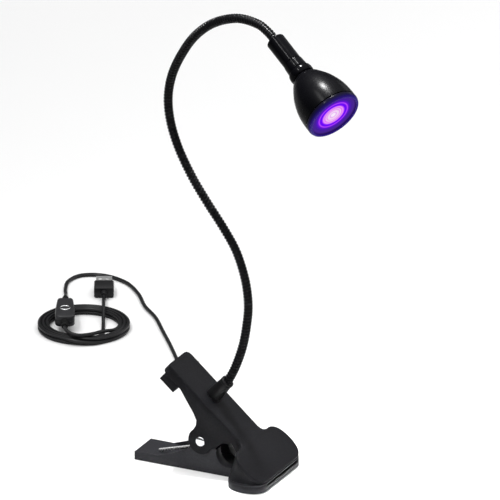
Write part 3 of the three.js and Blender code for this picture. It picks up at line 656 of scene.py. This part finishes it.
pad("pad_lower", 4.9, JAW_PLANE - 0.15, "lower_jaw_pad", "lower_arm")
pad("pad_upper", JAW_PLANE + 0.15, JAW_PLANE + 1.35, "upper_jaw_pad", "upper_arm")

# %% [markdown]
# ## Pin and spring
# The pin is a chromed rivet with a low domed head at each side. The spring is a wire of 2.5 mm with
# four turns round the pin; its legs push the handles apart and so close the jaws.

# %% Rivet
HEAD_AT, HEAD_TOP = 16.2, 17.9
dome = [(0, HEAD_TOP)] + [(3.75 * math.sin(math.radians(a)),
                          HEAD_AT + 0.3 + (HEAD_TOP - HEAD_AT - 0.3) * math.cos(math.radians(a)))
                         for a in range(15, 91, 15)] + [(3.75, HEAD_AT), (2, HEAD_AT)]
LIE_DOWN = Matrix.Rotation(math.pi / 2, 4, "X")
at_pivot = Matrix.Translation(PIVOT)
piece("rivet", turned(dome + [(2, -HEAD_AT), (0, -HEAD_AT)], 40), chrome, "upper_arm",
      ["pivot_pin"], at_pivot @ LIE_DOWN)
piece("rivet_far_head", turned(dome + [(0, HEAD_AT)], 40), chrome, "upper_arm",
      ["rivet_cap"], at_pivot @ LIE_DOWN.inverted())

# %% Spring
SPRING_R, SPRING_WIRE, SPRING_PITCH, SPRING_TURNS = 6, 1.25, 2.8, 4
low_end = Vector((-38, LOWER_TOP + SPRING_WIRE + 0.2 - PIVOT.z))
leg_on_plate = upper_frame @ Vector((-34, 0, PLATE_TOP - 2.4 - SPRING_WIRE - 0.25))
high_end = Vector((leg_on_plate.x, leg_on_plate.z - PIVOT.z))
onto = math.atan2(-low_end.y, -low_end.x) - math.asin(SPRING_R / low_end.length)
off = math.atan2(high_end.y, high_end.x) + math.asin(SPRING_R / high_end.length)
first_turn = onto - math.pi / 2
last_turn = off - math.pi / 2 + SPRING_TURNS * math.tau
width = SPRING_PITCH * (last_turn - first_turn) / math.tau
coil_count = 90
spring_route = []
for i in range(coil_count + 1):
    turn = first_turn + (last_turn - first_turn) * i / coil_count
    across = width * (i / coil_count - 0.5)
    spring_route.append(PIVOT + Vector((SPRING_R * math.cos(turn), across, SPRING_R * math.sin(turn))))
legs = [Vector((low_end.x, -width / 2, PIVOT.z + low_end.y)),
        Vector((high_end.x, width / 2, PIVOT.z + high_end.y))]
low_leg = [legs[0].lerp(spring_route[0], i / 12) for i in range(12)]
high_leg = [spring_route[-1].lerp(legs[1], i / 12) for i in range(1, 13)]
spring_points = low_leg + spring_route + high_leg
spring = piece("torsion_spring_wire", wire(spring_points, SPRING_WIRE, 16), nickel,
               stands_for=["torsion_spring"])
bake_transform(spring)

# %% [markdown]
# ## The block that holds the lead
# A small moulded block closes the end of the handle. Its foot is as wide as the arm, a screw holds
# it from below, and the lead leaves through its far side inside a tapered rubber relief.

# %% Block and relief
holder = bmesh.new()
block(holder, (-53.4, -UPPER_HALF, 11.1), (-39.3, UPPER_HALF, SKIRT_EDGE - 0.05), 0.25)
block(holder, (-53.4, -13.8, 12.1), (-39.3, 13.8, 22.3), 0.4)
piece("lead_block", holder, black_abs, "upper_arm", ["lead_clamp_block"], upper_frame)


def ribbed_relief(long, wide, narrow, hole, grooves):
    profile = [(hole, 0), (wide, 0)]
    for i in range(grooves):
        start = long * (0.08 + 0.24 * i)
        r = wide + (narrow - wide) * start / long
        profile += [(r, start), (r - 0.5, start + 0.3), (r - 0.55, start + 0.9), (r - 0.1, start + 1.2)]
    profile += [(narrow + 0.25, long * 0.9), (narrow, long), (hole, long)]
    bm = turned(eased(profile, 0.3, 3) + [(hole, 0)], 36)
    return bm


exit_place = upper_frame @ Matrix.Translation((-46, 16.2, 14)) @ LIE_DOWN.inverted()
piece("lead_relief_clip", ribbed_relief(8.1, 3.1, 2.1, 1.65, 2), rubber, "upper_arm",
      ["lead_exit_relief"], exit_place)

# %% [markdown]
# ## The gooseneck
# A gooseneck is a round spring wire wound tightly, with a second wire lying in its groove. Here one
# lacquered wire is wound as a helix round a slim core, which gives the real ridges and shadows. The
# neck is made as one run and cut at the middle of each link, so every piece crosses one joint and
# bends there without a gap.

# %% The neck's route
NECK_POINTS = [
    (8.2, 0, 62), (14.2, 0, 69), (20.5, 0, 81.5), (26.5, 0, 99.5), (30, 0, 120), (30.5, 0, 135),
    (27.8, 0, 152), (21.2, 0, 171), (11, 0, 187.5), (-2, 0, 205), (-14, 0, 222.5),
    (-24.5, 0, 242), (-31, -0.3, 261), (-33, -1.1, 280), (-29.5, -2.7, 299), (-20.5, -5.6, 318),
    (-7, -9.6, 337), (11, -15.2, 352), (33, -22.4, 361.6), (52, -29, 363), (63.1, -34, 360.2),
    (70.7, -38, 356.4), (80.2, -42.7, 350.8),
]
NECK_STEP = 0.18
NECK_PITCH = 2.5
WOUND_AT, WOUND_WIRE, CORE = 2.45, 1.08, 2.75
neck_route = smooth_route(NECK_POINTS, NECK_STEP)
neck_long = route_length(neck_route)
print("neck, mm:", round(neck_long, 1), "in", len(neck_route), "steps")

# %% Frames along the route, turned as little as possible
across_now = Vector((0, 1, 0))
neck_frames = []
for i, here in enumerate(neck_route):
    along = neck_route[min(i + 1, len(neck_route) - 1)] - neck_route[max(i - 1, 0)]
    along.normalize()
    across_now = (across_now - along * across_now.dot(along)).normalized()
    neck_frames.append((here, across_now.copy(), along.cross(across_now)))

# %% [markdown]
# The neck's joints are read from the frame. The nearest step of the route to each joint gives its
# distance along the neck, and the pieces are cut half-way between those.

# %% Neck pieces
neck_joints = [j for j in frame["joints"] if j["name"].startswith("neck_bend")]
joint_steps = []
for joint in neck_joints:
    centre = Vector(joint["pos_m"]) / MM
    joint_steps.append(min(range(len(neck_route)), key=lambda i: (neck_route[i] - centre).length))
cut_steps = [0] + [(a + b) // 2 for a, b in zip(joint_steps, joint_steps[1:])] + [len(neck_route) - 1]
REACH = int(24 / NECK_STEP)
real_step = neck_long / (len(neck_route) - 1)

for number, joint in enumerate(neck_joints):
    low, high = cut_steps[number], cut_steps[number + 1]
    winding = []
    for i in range(low, high + 1):
        here, first, second = neck_frames[i]
        turn = math.tau * i * real_step / NECK_PITCH
        winding.append(here + (first * math.cos(turn) + second * math.sin(turn)) * WOUND_AT)
    bm = wire(winding, WOUND_WIRE, 8)
    join(bm, wire(neck_route[low:high + 1:6] + [neck_route[high]], CORE, 16))
    links = [f"neck_link_{number + 1}"] + (["neck_link_6"] if number == 4 else [])
    made = piece(f"gooseneck_{number + 1}", bm, neck_lacquer, stands_for=links, sharp=60)
    middle = joint_steps[number]
    start, end = neck_route[max(middle - REACH, 0)], neck_route[min(middle + REACH, len(neck_route) - 1)]
    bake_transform(made)

# %% [markdown]
# ## Neck socket
# The neck stands in a slim turned cone with a small lip, screwed through the plate.

# %% Socket
socket_profile = eased([(0, 0.3), (6, 0.3), (5.8, 3.5), (4.8, 15.0), (5, 15.5), (5, 17.7),
                        (3.8, 17.9), (3.6, 12), (0, 12)], 0.45)
socket_place = upper_frame @ Matrix.Translation((-18, 0, PLATE_TOP))
piece("neck_cone", turned(socket_profile), socket_paint, "upper_arm", ["neck_socket"],
      socket_place)

# %% [markdown]
# ## The head
# Sleeve, coupling, collar, bell and bezel are turned aluminium, painted gloss black. Each is one
# profile spun about the beam, with its corners eased, because a painted edge is never sharp and
# the thin highlight on it is what shows the joint between two pieces.

# %% Distances from the beam's axis and along it
def beam_places(tree):
    coords = add(tree, "TexCoord").outputs["Object"]
    local = add(tree, "Mapping", {"vector_type": "TEXTURE"}, Vector=coords,
                Location=HEAD_START * MM, Rotation=BEAM.to_track_quat("Z", "Y").to_euler())
    parts = add(tree, "SeparateXYZ", Vector=local.outputs["Vector"])
    flat = add(tree, "CombineXYZ", X=parts.outputs["X"], Y=parts.outputs["Y"], Z=0)
    reach = add(tree, "VectorMath", {"operation": "LENGTH"}, Vector=flat.outputs["Vector"])
    return reach.outputs["Value"], parts.outputs["Z"]


def colour_stops(tree, value, low, high, stops):
    share = add(tree, "MapRange", Value=value, From_Min=low, From_Max=high, To_Min=0, To_Max=1)
    ramp = add(tree, "ValToRGB", Fac=share.outputs["Result"])
    while len(ramp.color_ramp.elements) < len(stops):
        ramp.color_ramp.elements.new(0.5)
    for stop, (place, code) in zip(ramp.color_ramp.elements, stops):
        stop.position = place
        stop.color = linear(code)
    return ramp.outputs["Color"]


# The bezel's faint glow is painted light: an emission from near black at the bell to a deep violet
# blue at its rim stands in for violet light on its black paint.
BEZEL_BACK, BEZEL_RIM = 73.9, 78.4
bezel_paint = skin("bezel_painted_violet_glow", "#030305", "#060509", (0.16, 0.22), 2.4, 0.0004,
                   Specular_IOR_Level=0.02, Emission_Strength=1)
tree = bezel_paint.node_tree
painted_violet_glow = colour_stops(tree, beam_places(tree)[1], BEZEL_BACK * MM, BEZEL_RIM * MM, [
    (0.0, "#08060f"), (0.35, "#0b0826"), (0.7, "#140a48"), (1.0, "#2a1478"),
])
tree.links.new(painted_violet_glow, tree.nodes["Principled BSDF"].inputs["Emission Color"])

# %% Turned head pieces
sleeve = [(3.7, 0), (6.6, 0), (7, 0.5), (7, 23.2), (1.9, 23.2), (1.9, 14), (3.7, 14), (3.7, 0)]
coupling = [(1.9, 23.5), (7.3, 23.5), (7.8, 30.8), (1.9, 30.8), (1.9, 23.5)]
collar = [(2.6, 31.1), (8.1, 31.1), (8.8, 32), (9.2, 33.9), (9.2, 35.8), (8.9, 37.3), (8.3, 38),
          (2.6, 38), (2.6, 31.1)]
bell_side = [(8.6, 38.3), (9.5, 39.3), (11, 40.9), (14, 45.6), (16.6, 50.5), (18.5, 55.5),
             (19.9, 60.4), (20.7, 65.3), (21, 70), (21, 73.6)]


def smooth_profile(points, spacing=0.8):
    return [(p.x, p.y) for p in smooth_route([(*p, 0) for p in points], spacing)]


bell_out = smooth_profile(bell_side)
bell_in = [(r - 1.5, t) for r, t in reversed(bell_out) if t > 42]
bell = [(2.6, 38.3)] + bell_out + bell_in + [(2.6, 41.4), (2.6, 38.3)]
bezel = [(19.6, BEZEL_BACK), (20.8, BEZEL_BACK), (21.1, 74.6), (21.1, 76.2), (20.7, 77.6),
         (20, BEZEL_RIM), (18.8, BEZEL_RIM), (18.4, 77.9), (18.4, 77.2), (19.6, 77.2),
         (19.6, BEZEL_BACK)]
for name, profile, node, ease, paint in (
    ("head_sleeve_tube", sleeve, "head_sleeve", 0.45, sleeve_paint),
    ("head_coupling_tube", coupling, "head_coupling", 0.35, sleeve_paint),
    ("head_collar_ring", collar, "head_collar", 0.7, sleeve_paint),
    ("head_bell_shell", bell, "head_bell", 0.25, bell_paint),
    ("head_bezel_ring", bezel, "head_bezel", 0.5, bezel_paint),
):
    piece(name, turned(eased(profile, ease), 96), paint, "head", [node], head_frame)

# %% [markdown]
# ## The lit lens
# The lens is a clear disc with rings moulded into it over a violet LED. Its light is strongest in
# the middle and falls to magenta and violet rings. The colour is painted by the distance from the
# beam's axis: a mapping node puts that axis at the centre of the pattern.

# %% Lens
LENS_R = 19.3
glow, tree, shader = empty_material("clear_lens_lit_violet")
lit = colour_stops(tree, beam_places(tree)[0], 0, LENS_R * MM, [
    (0.0, "#fbf0fd"), (0.1, "#f6e4fc"), (0.13, "#e298f0"), (0.17, "#f4d6f8"), (0.23, "#f0d8f2"),
    (0.28, "#ea84f2"), (0.32, "#ecd4f2"), (0.37, "#e062f4"), (0.42, "#eaa4f4"), (0.47, "#bc40fd"),
    (0.505, "#6a04fc"), (0.58, "#6c0cf0"), (0.62, "#c24cfc"), (0.66, "#7010e2"), (0.72, "#4e18b8"),
    (0.8, "#442096"), (0.9, "#48288c"), (1.0, "#241254"),
])
tree.links.new(lit, shader.inputs["Emission Color"])
shader.inputs["Base Color"].default_value = linear("#050208")
shader.inputs["Emission Strength"].default_value = 1
shader.inputs["Roughness"].default_value = 0.12
shader.inputs["Specular IOR Level"].default_value = 0

lens_profile = [(0, 76.5)]
for i in range(1, 10):
    r = 2 * i
    lens_profile += [(r - 0.3, 76.6), (r, 76.1), (r + 0.1, 76.5)]
lens_profile += [(LENS_R, 76.7), (LENS_R, 74.7), (0, 74.7)]
piece("lens_disc", turned(eased(lens_profile, 0.25, 3), 72), glow, "head", ["lens"], head_frame)

# %% [markdown]
# ## The inline switch
# Two satin shells meet in a thin seam. The cover has a round well for the button, which is ringed
# in chrome; the well is carved out of the cover with a turned cutter.

# %% A carving helper
def carve(target, cutter_bm, place):
    cutter = piece("cutter", cutter_bm, satin_abs, place=place)
    cut = target.modifiers.new("well", "BOOLEAN")
    cut.operation, cut.solver, cut.object = "DIFFERENCE", "EXACT", cutter
    seen = bpy.context.evaluated_depsgraph_get()
    carved = bpy.data.meshes.new_from_object(target.evaluated_get(seen))
    target.modifiers.clear()
    target.data = carved
    bpy.data.objects.remove(cutter)
    carved.polygons.foreach_set("use_smooth", [True] * len(carved.polygons))
    carved.set_sharp_from_angle(angle=math.radians(32))


# %% Switch shells
def case_outline():
    end, top, wide = SWITCH_LONG / 2, 6, 7.3
    right = bend((0, -end), (4.6, -end), (wide - 0.2, -end + 0.8), (wide, -end + 5))
    right += bend((wide, -end + 5), (wide + 0.2, -3), (top + 0.5, 7), (top, end - 3))[1:]
    right += bend((top, end - 3), (top - 0.3, end - 0.7), (top - 1.5, end), (3.6, end))[1:]
    return right + [(-x, y) for x, y in reversed(right[1:])]


switch_place = coil_frame @ Matrix.Translation((SWITCH_ACROSS, SWITCH_AWAY, SWITCH_BOTTOM))
BUTTON_Y = -1.5
base = bmesh.new()
slab(base, case_outline(), 0, 4.2, (1.3, 0.2), 5)
piece("switch_lower_shell", base, satin_abs, "lower_arm", ["switch_base"], switch_place)
cover = bmesh.new()
slab(cover, case_outline(), 4.45, SWITCH_HEIGHT, (0.2, 1.5), 6)
cover_piece = piece("switch_upper_shell", cover, satin_abs, "lower_arm", ["switch_cover"],
                    switch_place)
well = turned([(0, 4.6), (4.15, 4.6), (4.15, 12), (0, 12)], 48)
carve(cover_piece, well, switch_place @ Matrix.Translation((0, BUTTON_Y, 0)))

# %% Button, ring and reliefs
button_place = switch_place @ Matrix.Translation((0, BUTTON_Y, 0))
button = eased([(0, 5.8), (3.5, 5.8), (3.5, 6.5), (2.8, 6.5), (2.8, 8.9), (2.2, 9.1), (0, 8.8)], 0.3)
piece("push_button", turned(button, 48), satin_abs, "switch_button", ["switch_button"],
      button_place)
bright = [(3.1, 7.2), (4.1, 7.2), (4.1, 8.6), (3.8, 9), (3.4, 9), (3.1, 8.7), (3.1, 7.2)]
piece("button_bright_ring", turned(eased(bright, 0.15), 48), chrome, "lower_arm", ["button_ring"],
      button_place)
half_long = SWITCH_LONG / 2
to_lamp = switch_place @ Matrix.Translation((0, half_long + 0.1, SWITCH_HEIGHT / 2)) @ LIE_DOWN.inverted()
to_plug = switch_place @ Matrix.Translation((0, -half_long - 0.1, SWITCH_HEIGHT / 2)) @ LIE_DOWN
piece("relief_to_lamp", ribbed_relief(9, 3.1, 2.2, 1.5, 3), rubber, "lower_arm",
      ["relief_lamp_side"], to_lamp)
piece("relief_to_plug", ribbed_relief(9.4, 3.1, 2.2, 1.5, 3), rubber, "lower_arm",
      ["relief_plug_side"], to_plug)

# %% [markdown]
# ## The plug
# The grip is soft-cornered PVC, moulded round a folded steel shell. The shell is a flat tube with
# two square latch windows in its upper face, carved with two small blocks.

# %% Plug
plug_place = coil_frame @ Matrix.Translation((PLUG_ACROSS, PLUG_AWAY, PLUG_AXIS))
GRIP_HALF, GRIP_THICK, GRIP_SOFT = 7.35, 3.9, 1.4
cx, cz = GRIP_HALF - GRIP_SOFT, GRIP_THICK - GRIP_SOFT
section = [p for sx, sz, a in ((1, 1, 0), (-1, 1, 90), (-1, -1, 180), (1, -1, 270))
           for p in arc(sx * cx, sz * cz, GRIP_SOFT, a, a + 90, 6)]
grip = bmesh.new()
side_slab(grip, section, 0, 16.7, 0.8)
grip_piece = piece("plug_moulded_grip", grip, pvc, "lower_arm", ["plug_grip"], plug_place)
tube_bm = bmesh.new()
SHELL_HALF, SHELL_THICK, SHELL_WALL, SHELL_END = 6, 2.25, 0.35, 28.4
outline = [(SHELL_HALF, -SHELL_THICK), (SHELL_HALF, SHELL_THICK),
           (-SHELL_HALF, SHELL_THICK), (-SHELL_HALF, -SHELL_THICK)]
side_slab(tube_bm, outline, 12, SHELL_END, 0)
end_face = max(tube_bm.faces, key=lambda f: f.calc_center_median().y)
bmesh.ops.inset_region(tube_bm, faces=[end_face], thickness=SHELL_WALL, use_even_offset=True)
bmesh.ops.translate(tube_bm, verts=end_face.verts, vec=(0, -11.4, 0))
shell_piece = piece("plug_steel_shell", tube_bm, plug_steel, "lower_arm", ["plug_shell"], plug_place)
windows = bmesh.new()
for x in (-2.85, 2.85):
    block(windows, (x - 1.15, 21.6, 1), (x + 1.15, 23.8, 5), 0)
carve(shell_piece, windows, plug_place)
plug_relief = turned(eased([(1.45, -5.4), (2.3, -5.4), (2.6, -0.2), (1.45, -0.2), (1.45, -5.4)], 0.3), 32)
relief_c = piece("plug_short_relief", plug_relief, pvc, "lower_arm", ["plug_relief"],
                 plug_place @ LIE_DOWN.inverted())

# %% [markdown]
# ## Hidden pieces
# The washer, nut, screw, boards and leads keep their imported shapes, with the finish that each has.

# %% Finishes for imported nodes
KEPT = {
    "clamp_screw": zinc, "arm_lead": pvc, "socket_washer": zinc, "socket_nut": zinc,
    "reflector": mirror_coat, "led_board": white_mask, "led_chip": phosphor,
    "heat_spreader": aluminium, "head_lead": pvc, "switch_board": green_mask,
    "key_contact": zinc, "plug_tongue": carrier,
}
for node, material in KEPT.items():
    data = frame["nodes"][node].data
    data.materials.clear()
    data.materials.append(material)
print("kept nodes:", len(KEPT))

# %% [markdown]

# %% [markdown]
# ## Floor
# A plain pale floor, a little rough, takes soft shadows.

# %% Floor
ground = bmesh.new()
bmesh.ops.create_grid(ground, x_segments=1, y_segments=1, size=4000)
pale = skin("pale_floor_paint", "#f3f3f3", "#f6f6f6", (0.5, 0.6), 4, 0.002, patch_mm=300)
floor = piece("floor", ground, pale, place=Matrix.Translation((0, 0, -0.05)))
